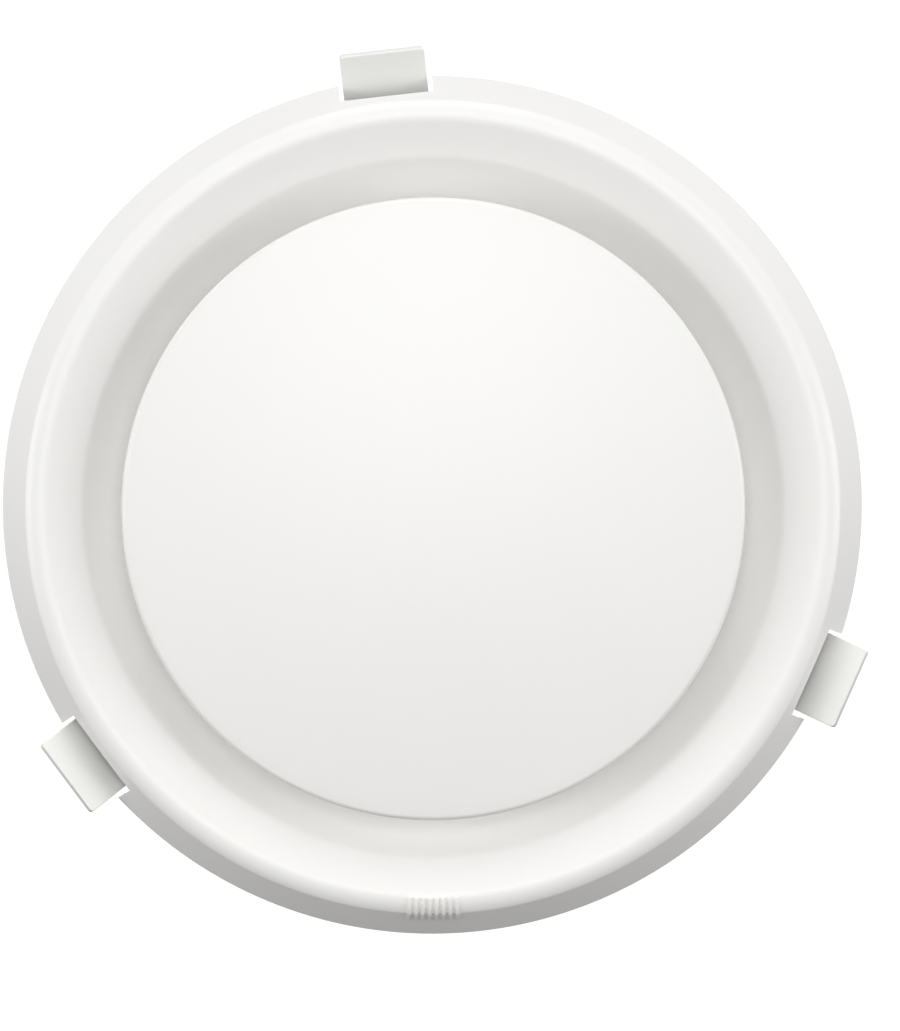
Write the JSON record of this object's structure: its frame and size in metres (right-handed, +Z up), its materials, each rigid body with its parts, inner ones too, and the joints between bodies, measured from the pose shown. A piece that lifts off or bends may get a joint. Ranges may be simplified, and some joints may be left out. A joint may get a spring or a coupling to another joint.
{
  "type": "round ceiling air diffuser",
  "caption": "Round ceiling diffuser: flared ring, domed centre disc on a screw spindle, duct spigot with lip seal, and spring clips that fold up to grip a ceiling board.",
  "frame": {"origin": "centre of the ceiling plane, level with the back edge of the rim and on the spindle's axis", "axes": "+Z up into the ceiling void along the duct; the face looks down along -Z; +Y towards the index ribs on the rim"},
  "size_m": [0.2921, 0.2998, 0.0877],
  "materials": {
    "white_abs": "satin",
    "natural_nylon": "satin",
    "grey_nylon": "matte",
    "black_acetal": "satin",
    "galvanised_sheet": "satin",
    "zinc_plate": "bright",
    "spring_steel": "bright",
    "brass": "satin",
    "gasket_foam": "matte",
    "seal_rubber": "matte"
  },
  "bodies": {
    "housing": {"face_ring": "white_abs", "ceiling_gasket": "gasket_foam", "duct_spigot": "white_abs", "duct_seal": "seal_rubber", "bridge_spider": "grey_nylon", "spindle_bush": "brass", "neck_screw_1": "zinc_plate", "clip_bracket_1": "galvanised_sheet", "hinge_pin_1": "spring_steel", "clip_spring_1": "spring_steel", "bracket_screw_1a": "zinc_plate", "bracket_screw_1b": "zinc_plate", "neck_screw_2": "zinc_plate", "clip_bracket_2": "galvanised_sheet", "hinge_pin_2": "spring_steel", "clip_spring_2": "spring_steel", "bracket_screw_2a": "zinc_plate", "bracket_screw_2b": "zinc_plate", "neck_screw_3": "zinc_plate", "clip_bracket_3": "galvanised_sheet", "hinge_pin_3": "spring_steel", "clip_spring_3": "spring_steel", "bracket_screw_3a": "zinc_plate", "bracket_screw_3b": "zinc_plate"},
    "travel_stop": {"stop_washer": "natural_nylon"},
    "centre_disc": {"disc_plate": "white_abs", "disc_hub": "grey_nylon", "adjusting_spindle": "black_acetal", "hub_pin": "spring_steel", "stop_nut": "zinc_plate", "hub_screw_1": "zinc_plate", "hub_screw_2": "zinc_plate", "hub_screw_3": "zinc_plate"},
    "board_clip_1": {"clip_blade_1": "natural_nylon"},
    "board_clip_2": {"clip_blade_2": "natural_nylon"},
    "board_clip_3": {"clip_blade_3": "natural_nylon"}
  },
  "joints": [
    {"name": "disc_travel", "type": "slide", "parent": "housing", "child": "travel_stop", "axis": [0, 0, 1], "range_m": [-0.008, 0.014]},
    {"name": "disc_turn", "type": "hinge", "parent": "travel_stop", "child": "centre_disc", "pos_m": [0, 0, 0], "axis": [0, 0, 1], "range_deg": [-720, 1260]},
    {"name": "clip_1_fold", "type": "hinge", "parent": "housing", "child": "board_clip_1", "pos_m": [0.105, 0.04566, 0.017], "axis": [0.3987, -0.9171, 0], "range_deg": [0, 112], "stiffness_Nm_per_rad": 0.05, "springref_deg": -57.3},
    {"name": "clip_2_fold", "type": "hinge", "parent": "housing", "child": "board_clip_2", "pos_m": [-0.09204, 0.06811, 0.017], "axis": [0.5948, 0.8039, 0], "range_deg": [0, 112], "stiffness_Nm_per_rad": 0.05, "springref_deg": -57.3},
    {"name": "clip_3_fold", "type": "hinge", "parent": "housing", "child": "board_clip_3", "pos_m": [-0.01296, -0.11376, 0.017], "axis": [-0.9936, 0.1132, 0], "range_deg": [0, 112], "stiffness_Nm_per_rad": 0.05, "springref_deg": -57.3}
  ],
  "couplings": [
    {"joint": "disc_travel", "follows": "disc_turn", "m_per_rad": 0.00063662}
  ]
}
